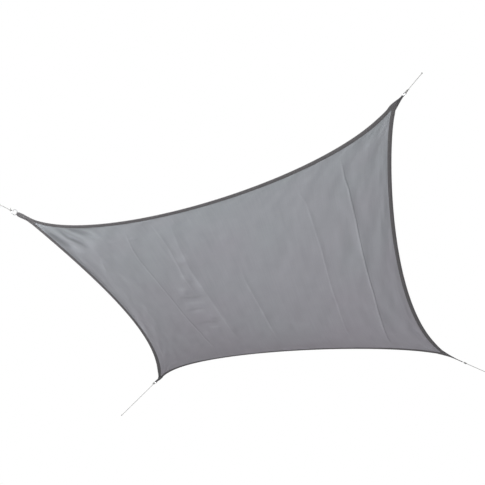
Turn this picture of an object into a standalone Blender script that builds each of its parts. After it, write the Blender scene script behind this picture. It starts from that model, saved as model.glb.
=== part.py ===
"""Square shade sail, pulled tight between four corners.

The sail is one knitted sheet with curved-in edges. Darker webbing is folded over each edge. At each corner
the two edge strips run out as a strap that loops round a steel ring, and a taut rope is hitched to the ring.

The sail is modelled flat in its own frame and then leaned by an empty: X runs along the front edge, Y runs
from the front edge to the back edge, and Z is up. Two opposite corners stand high and two stand low.
Metres and degrees throughout. The origin is at the centre of the front right ring, the highest corner.
"""
import math
from collections import namedtuple

import bmesh
import bpy
from mathutils import Euler, Matrix, Vector

# ------------------------------------------------------------------ driving dimensions
SIDE = 3.66                     # corner to corner along each side, to where the straps meet the rings
CORNER_RISE = 0.20              # high corners stand this far above the mean plane, low corners this far below
BELLY = 0.06                    # how far the middle of the cloth hangs down
BELLY_TO_BACK = 0.8             # the belly is deeper towards the back edge
BELLY_TO_RIGHT = -0.1           # and a little shallower towards the right edge
LEAN = (-20.0, -7.0, 0.0)       # the back edge is lower than the front, and the right side higher

CLOTH_THICKNESS = 0.002
WEBBING_WIDTH = 0.040
WEBBING_THICKNESS = 0.0012
WEBBING_FOLD = 0.004            # the webbing's rim stands this far beyond the cloth's rim
NECK_TAPER = 0.07               # share of an edge over which the webbing narrows to its corner
GAP = 0.0003                    # between pieces that touch

STRAP_WIDTH = 0.028
STRAP_THICKNESS = 0.005
SLEEVE_WALL = 0.0024            # of the strap's loop round the ring
RING_RADIUS = 0.0245            # to the middle of the wire
WIRE_RADIUS = 0.003
BORE_RADIUS = 0.0034            # of what loops round the wire

ROPE_DIAMETER = 0.006
ROPE_STEP = 0.018               # between the rope's points
HITCH_LENGTH = 0.022
HITCH_DIAMETER = 0.017
HITCH_BITE = 0.003              # how far the knot reaches into its turn round the ring
TAIL_LENGTH = 0.024
END_KNOT_LENGTH = 0.016
END_KNOT_DIAMETER = 0.013

COLUMNS = 44                    # cells of the cloth from left to right
ROWS = 34                       # cells of the cloth from front to back
STRAP_STEPS = 9
RING_STEPS = 20
WIRE_SIDES = 8

# Each corner, counted round from the front left one. rise is +1 for a high corner and -1 for a low one.
# beyond is how far the strap's end stands outside the square's corner. neck_length is the strap's length
# from where the two seams meet to the ring, and neck_width the webbing's width there. The pull's turn is
# measured from +X and its climb from the sail's plane. roll turns the ring about the pull. rope_reach is how
# far the rope and its knots reach from the strap's end.
Corner = namedtuple(
    "Corner", "name side_x side_y rise beyond neck_length neck_width turn climb roll rope_reach")
CORNERS = (
    Corner("front_left", -1, -1, -1, 0.0, 0.160, 0.040, -127.0, 5.0, 60.0, 0.272),
    Corner("front_right", 1, -1, 1, 0.0, 0.145, 0.034, -43.0, 4.5, 38.0, 0.282),
    Corner("back_right", 1, 1, -1, 0.085, 0.275, 0.034, 45.0, -6.5, 41.0, 0.471),
    Corner("back_left", -1, 1, 1, 0.0, 0.150, 0.032, 134.5, 6.0, 4.0, 1.150),
)

# Each edge's seam curve runs from corner start to corner end. Its angles are how far the curve turns into
# the sail from the straight line between the corners, its reaches are the lengths of its two handles as
# shares of that line, and its drops are how steeply the handles fall.
Edge = namedtuple("Edge", "name start end start_angle end_angle start_reach end_reach start_drop end_drop")
EDGES = (
    Edge("front", 0, 1, 42.0, 45.0, 0.20, 0.25, 0.24, 0.02),
    Edge("right", 1, 2, 37.0, 31.0, 0.06, 0.30, 0.02, 0.04),
    Edge("back", 2, 3, 32.0, 51.0, 0.19, 0.18, 0.00, -0.08),
    Edge("left", 3, 0, 23.0, 16.0, 0.30, 0.23, 0.00, 0.12),
)

# Creases that packing and pulling leave in the cloth, each from one place to another. Places are shares of
# the way to the right and to the back. height is up, so a crease with a height below zero hangs down.
Crease = namedtuple("Crease", "right_a back_a right_b back_b height width")
CREASES = (
    Crease(0.269, 0.06, 0.246, 0.34, -0.006, 0.055),
    Crease(0.248, 0.26, 0.317, 0.92, -0.009, 0.060),
    Crease(0.340, 0.04, 0.342, 0.54, -0.005, 0.055),
    Crease(0.383, 0.04, 0.363, 0.42, -0.007, 0.060),
    Crease(0.363, 0.36, 0.408, 0.88, -0.008, 0.065),
    Crease(0.484, 0.38, 0.511, 0.90, -0.006, 0.060),
    Crease(0.677, 0.10, 0.714, 0.50, -0.007, 0.060),
    Crease(0.716, 0.44, 0.705, 0.94, -0.007, 0.065),
    Crease(0.803, 0.08, 0.840, 0.52, -0.010, 0.060),
    Crease(0.845, 0.44, 0.818, 0.94, -0.012, 0.060),
    Crease(0.262, 0.518, 0.382, 0.545, 0.007, 0.060),
    Crease(0.280, 0.685, 0.388, 0.700, 0.006, 0.060),
    Crease(0.034, 0.058, 0.093, 0.199, 0.016, 0.050),
    Crease(0.100, 0.030, 0.146, 0.168, 0.012, 0.045),
    Crease(0.146, 0.020, 0.190, 0.110, 0.010, 0.045),
    Crease(0.040, 0.150, 0.042, 0.660, 0.010, 0.090),
)
CREASE_FADE = 0.06              # share of the way in over which creases die out at the seams
CREASE_END = 0.12               # length over which a crease begins and ends

# colour, roughness and metallic value of each material
MATERIALS = {
    "sail_knit": ((0.30, 0.31, 0.32), 0.85, 0.0),
    "edge_webbing": ((0.11, 0.11, 0.115), 0.80, 0.0),
    "ring_steel": ((0.62, 0.62, 0.63), 0.28, 1.0),
    "rope_fibre": ((0.55, 0.55, 0.54), 0.75, 0.0),
}
UP = Vector((0.0, 0.0, 1.0))


# ------------------------------------------------------------------ the scene
def clear_scene():
    for old in list(bpy.data.objects):
        bpy.data.objects.remove(old, do_unlink=True)


def make_material(name):
    colour, roughness, metallic = MATERIALS[name]
    material = bpy.data.materials.new(name)
    material.use_nodes = True
    shader = material.node_tree.nodes["Principled BSDF"]
    shader.inputs["Base Color"].default_value = (*colour, 1.0)
    shader.inputs["Roughness"].default_value = roughness
    shader.inputs["Metallic"].default_value = metallic
    return material


def add_object(name, data, parent, material=None, matrix=None):
    piece = bpy.data.objects.new(name, data)
    bpy.context.scene.collection.objects.link(piece)
    piece.parent = parent
    if matrix is not None:
        piece.matrix_local = matrix
    if material is not None:
        data.materials.append(material)
    return piece


def mesh_from(bm, name, smooth_angle=35.0):
    bmesh.ops.recalc_face_normals(bm, faces=bm.faces)
    mesh = bpy.data.meshes.new(name)
    bm.to_mesh(mesh)
    bm.free()
    mesh.shade_smooth()
    mesh.set_sharp_from_angle(angle=math.radians(smooth_angle))
    return mesh


def add_grid(bm, rows, other_way=False):
    """Join rows of vertices with triangles that all lean the same way."""
    for low, high in zip(rows, rows[1:]):
        for index in range(len(low) - 1):
            a, b, c, d = low[index], low[index + 1], high[index + 1], high[index]
            for corners in ((a, b, d), (b, c, d)) if other_way else ((a, b, c), (a, c, d)):
                bm.faces.new(corners)


# ------------------------------------------------------------------ the sail's surface
def bezier(points, share):
    a, b, c, d = points
    rest = 1.0 - share
    return rest ** 3 * a + 3 * rest ** 2 * share * b + 3 * rest * share ** 2 * c + share ** 3 * d


def smooth_step(share):
    share = min(max(share, 0.0), 1.0)
    return share * share * (3.0 - 2.0 * share)


def pull_direction(corner):
    turn = math.radians(corner.turn)
    climb = math.radians(corner.climb)
    return Vector((math.cos(turn) * math.cos(climb), math.sin(turn) * math.cos(climb), math.sin(climb)))


def strap_end(corner):
    """Where the strap meets the ring's wire."""
    square_corner = Vector((corner.side_x * SIDE / 2, corner.side_y * SIDE / 2, corner.rise * CORNER_RISE))
    return square_corner + corner.beyond * pull_direction(corner)


def seam_corner(corner):
    """Where the seams of the corner's two edges meet."""
    return strap_end(corner) - corner.neck_length * pull_direction(corner)


def seam_handles(edge):
    """The four control points of an edge's seam curve."""
    start = seam_corner(CORNERS[edge.start])
    end = seam_corner(CORNERS[edge.end])
    length = (end - start).length
    along = (end - start).normalized()
    inward = Vector((-along.y, along.x, 0.0)).normalized()
    start_angle = math.radians(edge.start_angle)
    end_angle = math.radians(edge.end_angle)
    leave = along * math.cos(start_angle) + inward * math.sin(start_angle) - UP * edge.start_drop
    arrive = -along * math.cos(end_angle) + inward * math.sin(end_angle) - UP * edge.end_drop
    return start, start + leave * edge.start_reach * length, end + arrive * edge.end_reach * length, end


SEAMS = tuple(seam_handles(edge) for edge in EDGES)


def crease_height(right, back):
    """How far the creases lift the cloth at one place."""
    fade = smooth_step(min(right, 1.0 - right, back, 1.0 - back) / CREASE_FADE)
    height = 0.0
    for crease in CREASES:
        begin = Vector((crease.right_a, crease.back_a)) * SIDE
        run = Vector((crease.right_b, crease.back_b)) * SIDE - begin
        offset = Vector((right, back)) * SIDE - begin
        along = offset.dot(run.normalized())
        across = offset.cross(run.normalized())
        ends = smooth_step(along / CREASE_END) * smooth_step((run.length - along) / CREASE_END)
        height += crease.height * ends * math.exp(-(across / crease.width) ** 2)
    return height * fade


def sheet_point(right, back):
    """A point of the cloth's middle surface: the surface that its four seams span, with belly and creases."""
    front, east, rear, west = SEAMS
    point = (1.0 - back) * bezier(front, right) + back * bezier(rear, 1.0 - right)
    point += (1.0 - right) * bezier(west, 1.0 - back) + right * bezier(east, back)
    point -= (1.0 - right) * (1.0 - back) * front[0] + right * (1.0 - back) * front[3]
    point -= right * back * rear[0] + (1.0 - right) * back * rear[3]
    hollow = 16.0 * right * (1.0 - right) * back * (1.0 - back)
    hollow *= (1.0 + BELLY_TO_BACK * (2.0 * back - 1.0)) * (1.0 + BELLY_TO_RIGHT * (2.0 * right - 1.0))
    point.z += crease_height(right, back) - BELLY * hollow
    return point


def sheet_slopes(right, back, step=0.001):
    """The surface's two directions at a place, towards the right and towards the back."""
    left, east = max(right - step, 0.0), min(right + step, 1.0)
    front, rear = max(back - step, 0.0), min(back + step, 1.0)
    across = sheet_point(east, back) - sheet_point(left, back)
    deep = sheet_point(right, rear) - sheet_point(right, front)
    return across.normalized(), deep.normalized()


def sheet_normal(right, back):
    across, deep = sheet_slopes(right, back)
    return across.cross(deep).normalized()


def edge_place(number, share):
    """The place on the sheet that lies a share of the way along an edge."""
    return ((share, 0.0), (1.0, share), (1.0 - share, 1.0), (0.0, 1.0 - share))[number]


def edge_frame(number, share):
    """The seam's point, its direction, the way out across the webbing, and the cloth's normal."""
    right, back = edge_place(number, share)
    across, deep = sheet_slopes(right, back)
    along = (across, deep, -across, -deep)[number]
    normal = across.cross(deep).normalized()
    return sheet_point(right, back), along, along.cross(normal).normalized(), normal


def webbing_width(number, share):
    edge = EDGES[number]
    start = CORNERS[edge.start].neck_width
    end = CORNERS[edge.end].neck_width
    width = WEBBING_WIDTH
    width -= (WEBBING_WIDTH - start) * (1.0 - smooth_step(share / NECK_TAPER))
    width -= (WEBBING_WIDTH - end) * (1.0 - smooth_step((1.0 - share) / NECK_TAPER))
    return width


def edge_cells(number):
    return (COLUMNS, ROWS, COLUMNS, ROWS)[number]


# ------------------------------------------------------------------ cloth
def cloth_mesh():
    """One sheet: its grid between the seams, and a rim inside the webbing along each edge."""
    bm = bmesh.new()
    half = CLOTH_THICKNESS / 2
    faces = {}
    for side in (1, -1):
        grid = []
        for row in range(ROWS + 1):
            line = []
            for column in range(COLUMNS + 1):
                place = column / COLUMNS, row / ROWS
                line.append(bm.verts.new(sheet_point(*place) + sheet_normal(*place) * half * side))
            grid.append(line)
        add_grid(bm, grid)
        seams = (grid[0], [line[-1] for line in grid], grid[-1][::-1], [line[0] for line in grid[::-1]])
        rims = []
        for number, seam in enumerate(seams):
            rim = []
            for index in range(len(seam)):
                share = index / edge_cells(number)
                point, _, out, normal = edge_frame(number, share)
                reach = webbing_width(number, share) - WEBBING_FOLD
                rim.append(bm.verts.new(point + out * reach + normal * half * side))
            add_grid(bm, [rim, seam], other_way=side < 0)
            rims.append(rim)
        faces[side] = seams, rims
    for number in range(len(EDGES)):
        top_seam, low_seam = faces[1][0][number], faces[-1][0][number]
        top_rim, low_rim = faces[1][1][number], faces[-1][1][number]
        add_grid(bm, [low_rim, top_rim])
        for end in (0, -1):
            bm.faces.new((top_seam[end], top_rim[end], low_rim[end], low_seam[end]))
    return mesh_from(bm, "sail_cloth")


# ------------------------------------------------------------------ edge webbing
def webbing_section(width):
    """The folded strip's section: out across the edge, and up along the normal."""
    inner = CLOTH_THICKNESS / 2 + GAP
    outer = inner + WEBBING_THICKNESS
    lip = GAP
    slot = width - WEBBING_FOLD + GAP
    return (
        (lip, outer), (width - outer / 2, outer), (width, outer / 2), (width, -outer / 2),
        (width - outer / 2, -outer), (lip, -outer), (lip, -inner), (slot, -inner),
        (slot, inner), (lip, inner),
    )


def webbing_mesh(number):
    bm = bmesh.new()
    loops = []
    cells = edge_cells(number)
    for index in range(cells + 1):
        share = index / cells
        point, _, out, normal = edge_frame(number, share)
        section = webbing_section(webbing_width(number, share))
        loop = [bm.verts.new(point + out * reach + normal * rise) for reach, rise in section]
        loops.append(loop)
    add_grid(bm, [loop + loop[:1] for loop in loops])
    bm.faces.new(loops[0])
    bm.faces.new(loops[-1][::-1])
    return mesh_from(bm, "webbing_" + EDGES[number].name)


# ------------------------------------------------------------------ corner straps and rings
def ring_matrix(number):
    """The ring's frame: its centre, X along the pull, Y across the strap and Z along the ring's axis."""
    corner = CORNERS[number]
    pull = pull_direction(corner)
    _, _, _, normal = edge_frame(number, 0.0)
    axis = (normal - normal.dot(pull) * pull).normalized()
    axis.rotate(Matrix.Rotation(math.radians(corner.roll), 3, pull))
    across = axis.cross(pull)
    centre = strap_end(corner) + pull * RING_RADIUS
    matrix = Matrix((pull, across, axis)).transposed().to_4x4()
    matrix.translation = centre
    return matrix


def hermite(start, start_way, end, end_way, share):
    """A smooth curve between two points with a given run at each."""
    return bezier((start, start + start_way / 3, end - end_way / 3, end), share)


def strap_base(number):
    """Where the strap begins across its width, and the way each of those places runs on."""
    corner = CORNERS[number]
    point, along, out, _ = edge_frame(number, 0.0)
    _, previous_along, previous_out, _ = edge_frame(number - 1, 1.0)
    middle = point + pull_direction(corner) * GAP * 1.5
    start_rim = point + out * corner.neck_width - along * GAP
    end_rim = point + previous_out * corner.neck_width + previous_along * GAP
    places = (start_rim, (start_rim + middle) / 2, middle, (middle + end_rim) / 2, end_rim)
    pull = pull_direction(corner)
    ways = (-along, (pull - along).normalized(), pull, (pull + previous_along).normalized(), previous_along)
    return places, ways


def strap_mesh(number):
    """A strip that narrows from the two edges' webbing to the ring, turning to face as the ring does."""
    corner = CORNERS[number]
    bm = bmesh.new()
    places, ways = strap_base(number)
    ring = ring_matrix(number)
    pull, across, axis = (ring.col[index].to_3d() for index in range(3))
    _, _, _, normal = edge_frame(number, 0.0)
    if (places[0] - places[-1]).dot(across) < 0:
        across = -across
    run = corner.neck_length
    sheets = {}
    for side in (1, -1):
        rows = []
        for step in range(STRAP_STEPS + 1):
            share = step / STRAP_STEPS
            thickness_way = normal.lerp(axis, smooth_step(share)).normalized()
            row = []
            for place, way, offset in zip(places, ways, (1.0, 0.5, 0.0, -0.5, -1.0)):
                end = strap_end(corner) + across * offset * STRAP_WIDTH / 2
                point = hermite(place, way * run, end, pull * run, share)
                row.append(bm.verts.new(point + thickness_way * side * STRAP_THICKNESS / 2))
            rows.append(row)
        add_grid(bm, rows)
        sheets[side] = rows
    top, low = sheets[1], sheets[-1]
    add_grid(bm, [top[0], low[0]])
    add_grid(bm, [low[-1], top[-1]])
    for end in (0, -1):
        add_grid(bm, [[row[end] for row in top], [row[end] for row in low]])
    return mesh_from(bm, "strap_" + corner.name)


def wire_mesh(name, radius, start=0.0, end=360.0, steps=RING_STEPS, sides=WIRE_SIDES):
    """A round wire bent to the ring's radius, as a whole ring or as an arc with closed ends."""
    bm = bmesh.new()
    whole = end - start >= 360.0
    loops = []
    for step in range(steps if whole else steps + 1):
        turn = math.radians(start + (end - start) * step / steps)
        loop = []
        for side in range(sides):
            roll = 2 * math.pi * (side + 0.5) / sides
            reach = RING_RADIUS + radius * math.cos(roll)
            place = reach * math.cos(turn), reach * math.sin(turn), radius * math.sin(roll)
            loop.append(bm.verts.new(place))
        loops.append(loop)
    if whole:
        loops.append(loops[0])
    add_grid(bm, [loop + loop[:1] for loop in loops])
    if not whole:
        bm.faces.new(loops[0])
        bm.faces.new(loops[-1][::-1])
    return mesh_from(bm, name)


def add_helper(name, mesh, parent, matrix):
    """A piece that only joins to or cuts another, and is no part itself."""
    helper = add_object(name, mesh, parent, matrix=matrix)
    helper.hide_render = True
    helper.display_type = "WIRE"
    return helper


def combine(piece, helper, operation):
    modifier = piece.modifiers.new(operation.lower() + "_" + helper.name, "BOOLEAN")
    modifier.operation = operation
    modifier.object = helper
    modifier.solver = "EXACT"


def add_strap(number, parent, material, bore):
    corner = CORNERS[number]
    strap = add_object("strap_" + corner.name, strap_mesh(number), parent, material)
    half_turn = math.degrees(STRAP_WIDTH / 2 / RING_RADIUS)
    step = 360.0 / RING_STEPS
    sleeve_mesh = wire_mesh("sleeve_" + corner.name, BORE_RADIUS + SLEEVE_WALL, 180.0 - half_turn,
                            180.0 + half_turn, max(2, round(2 * half_turn / step)))
    sleeve = add_helper("sleeve_" + corner.name, sleeve_mesh, parent, ring_matrix(number))
    combine(strap, sleeve, "UNION")
    combine(strap, bore, "DIFFERENCE")


def add_ring(number, parent, material):
    name = "ring_" + CORNERS[number].name
    add_object(name, wire_mesh(name, WIRE_RADIUS), parent, material, ring_matrix(number))


# ------------------------------------------------------------------ ropes and knots
def barrel_mesh(name, length, diameter, steps=6, sides=12):
    """A knot's outer form, a barrel with round ends along X."""
    bm = bmesh.new()
    loops = []
    for step in range(steps + 1):
        slope = math.pi * (0.12 + 0.76 * step / steps)
        radius = diameter / 2 * math.sin(slope) ** 0.6
        place = -length / 2 * math.cos(slope) / math.cos(math.pi * 0.12)
        loop = []
        for side in range(sides):
            roll = 2 * math.pi * side / sides
            loop.append(bm.verts.new((place, radius * math.cos(roll), radius * math.sin(roll))))
        loops.append(loop)
    add_grid(bm, [loop + loop[:1] for loop in loops])
    bm.faces.new(loops[0])
    bm.faces.new(loops[-1][::-1])
    return mesh_from(bm, name)


def knot_place(number, reach):
    """The frame of a knot whose middle lies this far from the strap's end, along the pull."""
    matrix = ring_matrix(number)
    matrix.translation += matrix.col[0].to_3d() * (reach - RING_RADIUS)
    return matrix


def hitch_end():
    """How far from the strap's end the hitch knot reaches along the pull."""
    return 2 * RING_RADIUS + BORE_RADIUS + ROPE_DIAMETER + HITCH_LENGTH - HITCH_BITE


def add_hitch(number, parent, material, bore):
    """The rope's turn round the ring, the knot that closes it, and the knot's short tail."""
    name = "hitch_" + CORNERS[number].name
    middle = hitch_end() - HITCH_LENGTH / 2
    hitch = add_object(name, barrel_mesh(name, HITCH_LENGTH, HITCH_DIAMETER), parent, material,
                       knot_place(number, middle))
    step = 360.0 / RING_STEPS
    turn = add_helper("turn_" + name, wire_mesh("turn_" + name, BORE_RADIUS + ROPE_DIAMETER, -step, step, 2),
                      parent, ring_matrix(number))
    tail_way = Matrix.Rotation(math.radians(62.0), 4, "Z") @ Matrix.Translation((TAIL_LENGTH / 2, 0.0, 0.0))
    tail = add_helper("tail_" + name, barrel_mesh("tail_" + name, TAIL_LENGTH, ROPE_DIAMETER, 4, 8), parent,
                      knot_place(number, middle) @ tail_way)
    combine(hitch, turn, "UNION")
    combine(hitch, tail, "UNION")
    combine(hitch, bore, "DIFFERENCE")


def add_rope(number, parent, material):
    """A taut rope from its hitch knot to its end knot."""
    corner = CORNERS[number]
    pull = pull_direction(corner)
    start = hitch_end() + GAP
    end = corner.rope_reach - END_KNOT_LENGTH - GAP
    count = max(2, round((end - start) / ROPE_STEP)) + 1
    curve = bpy.data.curves.new("rope_" + corner.name, "CURVE")
    curve.dimensions = "3D"
    curve.bevel_depth = ROPE_DIAMETER / 2
    curve.bevel_resolution = 2
    curve.use_fill_caps = True
    spline = curve.splines.new("POLY")
    spline.points.add(count - 1)
    for index, point in enumerate(spline.points):
        reach = start + (end - start) * index / (count - 1)
        point.co = (*(strap_end(corner) + pull * reach), 1.0)
    add_object("rope_" + corner.name, curve, parent, material)


def add_end_knot(number, parent, material):
    corner = CORNERS[number]
    name = "end_knot_" + corner.name
    add_object(name, barrel_mesh(name, END_KNOT_LENGTH, END_KNOT_DIAMETER), parent, material,
               knot_place(number, corner.rope_reach - END_KNOT_LENGTH / 2))


# ------------------------------------------------------------------ the whole sail
def add_lean():
    """The empty that leans the flat sail and brings the front right ring's centre to the origin."""
    lean = bpy.data.objects.new("lean", None)
    bpy.context.scene.collection.objects.link(lean)
    lean.rotation_euler = Euler([math.radians(angle) for angle in LEAN])
    lean.location = -(lean.rotation_euler.to_matrix() @ ring_matrix(1).translation)
    return lean


def main():
    clear_scene()
    lean = add_lean()
    knit, webbing, steel, rope = (make_material(name) for name in MATERIALS)
    add_object("sail_cloth", cloth_mesh(), lean, knit)
    for number, edge in enumerate(EDGES):
        add_object("webbing_" + edge.name, webbing_mesh(number), lean, webbing)
    for number, corner in enumerate(CORNERS):
        bore = add_helper("bore_" + corner.name, wire_mesh("bore_" + corner.name, BORE_RADIUS), lean,
                          ring_matrix(number))
        add_strap(number, lean, webbing, bore)
        add_ring(number, lean, steel)
        add_hitch(number, lean, rope, bore)
        add_rope(number, lean, rope)
        add_end_knot(number, lean, rope)


main()
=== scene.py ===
from collections import namedtuple
from math import atan2, cos, degrees, exp, pi, radians, sin

import bmesh
import bpy
import numpy as np
from mathutils import Matrix, Vector


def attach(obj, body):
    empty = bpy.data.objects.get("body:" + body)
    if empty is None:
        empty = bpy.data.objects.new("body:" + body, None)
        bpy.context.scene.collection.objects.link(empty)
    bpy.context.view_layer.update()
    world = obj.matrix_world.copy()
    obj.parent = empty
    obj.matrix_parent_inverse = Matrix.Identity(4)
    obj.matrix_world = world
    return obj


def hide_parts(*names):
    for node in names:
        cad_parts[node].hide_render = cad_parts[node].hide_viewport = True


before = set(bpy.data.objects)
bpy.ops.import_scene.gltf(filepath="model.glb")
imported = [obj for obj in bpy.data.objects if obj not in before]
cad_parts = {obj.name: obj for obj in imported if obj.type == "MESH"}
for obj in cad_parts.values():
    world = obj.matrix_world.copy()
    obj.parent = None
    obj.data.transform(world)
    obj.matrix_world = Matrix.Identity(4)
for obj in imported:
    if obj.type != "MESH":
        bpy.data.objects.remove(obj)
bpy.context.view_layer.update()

bl_info = {
    "name": "Shade sail",
    "version": (1, 0, 0),
    "blender": (4, 5, 0),
    "location": "3D View > Sidebar > Shade sail",
    "description": "A square shade sail pulled tight, with its webbing, corner straps, rings and ropes",
    "category": "Object",
}

# ---- the sail's sizes, in metres and degrees
SIDE = 3.66                     # corner to corner along each side
CORNER_RISE = 0.20              # high corners stand this far above the mean plane, low corners this far below
BELLY = 0.06                    # how far the middle of the cloth hangs down
BELLY_TO_BACK = 0.8
BELLY_TO_RIGHT = -0.1
LEAN = (-20.0, -7.0, 0.0)       # turns the sail's own frame into the frame that everything is placed in
WEBBING_WIDTH = 0.040
WEBBING_FOLD = 0.004            # the webbing's rim stands this far beyond the cloth's rim
NECK_TAPER = 0.07
STRAP_WIDTH = 0.028
RING_RADIUS = 0.0245
WIRE_RADIUS = 0.003
WIRE_ROOM = 0.0034              # what goes round the ring's wire stays this far from the wire's middle
ROPE_RADIUS = 0.003
HITCH_LENGTH = 0.022
HITCH_BITE = 0.003
END_KNOT_LENGTH = 0.016
GAP = 0.0003

Corner = namedtuple(
    "Corner", "name side_x side_y rise beyond neck_length neck_width turn climb roll rope_reach")
CORNERS = (
    Corner("front_left", -1, -1, -1, 0.0, 0.160, 0.040, -127.0, 5.0, 60.0, 0.272),
    Corner("front_right", 1, -1, 1, 0.0, 0.145, 0.034, -43.0, 4.5, 38.0, 0.282),
    Corner("back_right", 1, 1, -1, 0.085, 0.275, 0.034, 45.0, -6.5, 41.0, 0.471),
    Corner("back_left", -1, 1, 1, 0.0, 0.150, 0.032, 134.5, 6.0, 4.0, 1.150),
)
Edge = namedtuple("Edge", "name start end start_angle end_angle start_reach end_reach start_drop end_drop")
EDGES = (
    Edge("front", 0, 1, 42.0, 45.0, 0.20, 0.25, 0.24, 0.02),
    Edge("right", 1, 2, 37.0, 31.0, 0.06, 0.30, 0.02, 0.04),
    Edge("back", 2, 3, 32.0, 51.0, 0.19, 0.18, 0.00, -0.08),
    Edge("left", 3, 0, 23.0, 16.0, 0.30, 0.23, 0.00, 0.12),
)

# The lines where the cloth was folded in its pack, from the front edge to the back one. places are pairs of
# how far back and how far to the right, as shares, and a line begins at first and ends at last. swell is the
# height of a soft swell about it, line that of a ridge along it, left and right wide. Below zero is down.
FoldLine = namedtuple("FoldLine", "places first last swell line left right")
FOLD_LINES = (
    FoldLine(((0.0, 0.275), (0.08, 0.269), (0.21, 0.25), (0.28, 0.247), (0.35, 0.25), (0.45, 0.257),
              (0.6, 0.27), (0.79, 0.299), (1.0, 0.335)), 0.06, 0.9, -0.001, -0.0034, 0.008, 0.009),
    FoldLine(((0.0, 0.338), (0.25, 0.342), (0.41, 0.336), (0.55, 0.345), (1.0, 0.375)),
             0.02, 0.52, -0.001, -0.0034, 0.009, 0.02),
    FoldLine(((0.0, 0.386), (0.25, 0.368), (0.39, 0.364), (0.53, 0.375), (0.75, 0.392), (1.0, 0.42)),
             0.02, 0.86, -0.006, -0.0018, 0.012, 0.018),
    FoldLine(((0.0, 0.47), (0.48, 0.489), (0.66, 0.502), (0.81, 0.508), (1.0, 0.515)),
             0.4, 0.9, -0.001, -0.0024, 0.009, 0.02),
    FoldLine(((0.0, 0.672), (0.19, 0.684), (0.25, 0.697), (0.46, 0.713), (0.7, 0.715), (0.89, 0.706),
              (1.0, 0.7)), 0.1, 0.94, -0.001, -0.0022, 0.009, 0.022),
    FoldLine(((0.0, 0.797), (0.22, 0.813), (0.27, 0.822), (0.4, 0.835), (0.55, 0.842), (0.68, 0.845),
              (0.8, 0.835), (0.9, 0.82), (1.0, 0.808)), 0.08, 0.98, -0.003, -0.0046, 0.014, 0.009),
)
SWELL_WIDTH = 0.055
FOLD_END = 0.14                 # share of the way over which a fold line begins and ends

# Shorter creases, along places that are pairs of shares to the right and to the back: the rumples between two
# fold lines, and the wrinkles that fan out from the corners. left and right are the widths of a crease's two
# sides, as seen along its places: a wide side is a soft slope, a narrow one a sharp edge.
Crease = namedtuple("Crease", "places height left right")
CREASES = tuple(Crease(*row) for row in (
    (((0.268, 0.515), (0.319, 0.527), (0.375, 0.54)), 0.008, 0.12, 0.03),
    (((0.272, 0.592), (0.35, 0.596)), 0.005, 0.07, 0.026),
    (((0.294, 0.684), (0.336, 0.68), (0.379, 0.697)), 0.006, 0.08, 0.03),
    (((0.24, 0.728), (0.32, 0.738)), 0.004, 0.06, 0.03),
    (((0.33, 0.338), (0.368, 0.326)), -0.006, 0.05, 0.16),
    (((0.322, 0.424), (0.362, 0.43)), -0.005, 0.04, 0.1),
    (((0.298, 0.49), (0.33, 0.49)), -0.005, 0.03, 0.07),
    (((0.335, 0.64), (0.388, 0.658)), -0.003, 0.03, 0.04),
    (((0.022, 0.02), (0.034, 0.058), (0.049, 0.119), (0.079, 0.158), (0.093, 0.199)), 0.018, 0.045, 0.06),
    (((0.09, -0.01), (0.106, 0.064), (0.127, 0.11), (0.146, 0.168)), 0.014, 0.026, 0.075),
    (((0.128, -0.01), (0.154, 0.03), (0.178, 0.06), (0.19, 0.105)), 0.014, 0.026, 0.08),
    (((0.036, 0.12), (0.045, 0.3), (0.045, 0.48), (0.035, 0.68)), 0.012, 0.07, 0.16),
    (((0.138, 0.223), (0.091, 0.327)), -0.0026, 0.014, 0.014),
    (((0.2, 0.128), (0.23, 0.15)), -0.003, 0.022, 0.022),
    (((0.25, 0.135), (0.285, 0.15)), -0.003, 0.018, 0.018),
    (((0.96, 0.05), (0.856, 0.14)), 0.0035, 0.04, 0.04),
    (((0.856, 0.11), (0.819, 0.25)), 0.0035, 0.036, 0.036),
    (((0.965, 0.11), (0.892, 0.33)), 0.0035, 0.036, 0.036),
    (((0.925, 0.09), (0.862, 0.26)), -0.0025, 0.036, 0.036),
    (((0.96, 0.955), (0.88, 0.8)), -0.0035, 0.03, 0.03),
    (((0.925, 0.97), (0.83, 0.88)), 0.003, 0.026, 0.026),
    (((0.04, 0.955), (0.12, 0.8)), -0.003, 0.034, 0.034),
    (((0.05, 0.975), (0.18, 0.88)), 0.0025, 0.034, 0.034),
))
CREASE_FADE = 0.020             # share of the way in over which creases die out at the seams
CREASE_END = 0.40               # share of its length over which a short crease begins and ends
WAVES = 36                      # shallow waves that make the cloth a little uneven
WAVE_STEEPNESS = 0.0011         # their height, as a share of their length

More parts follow.
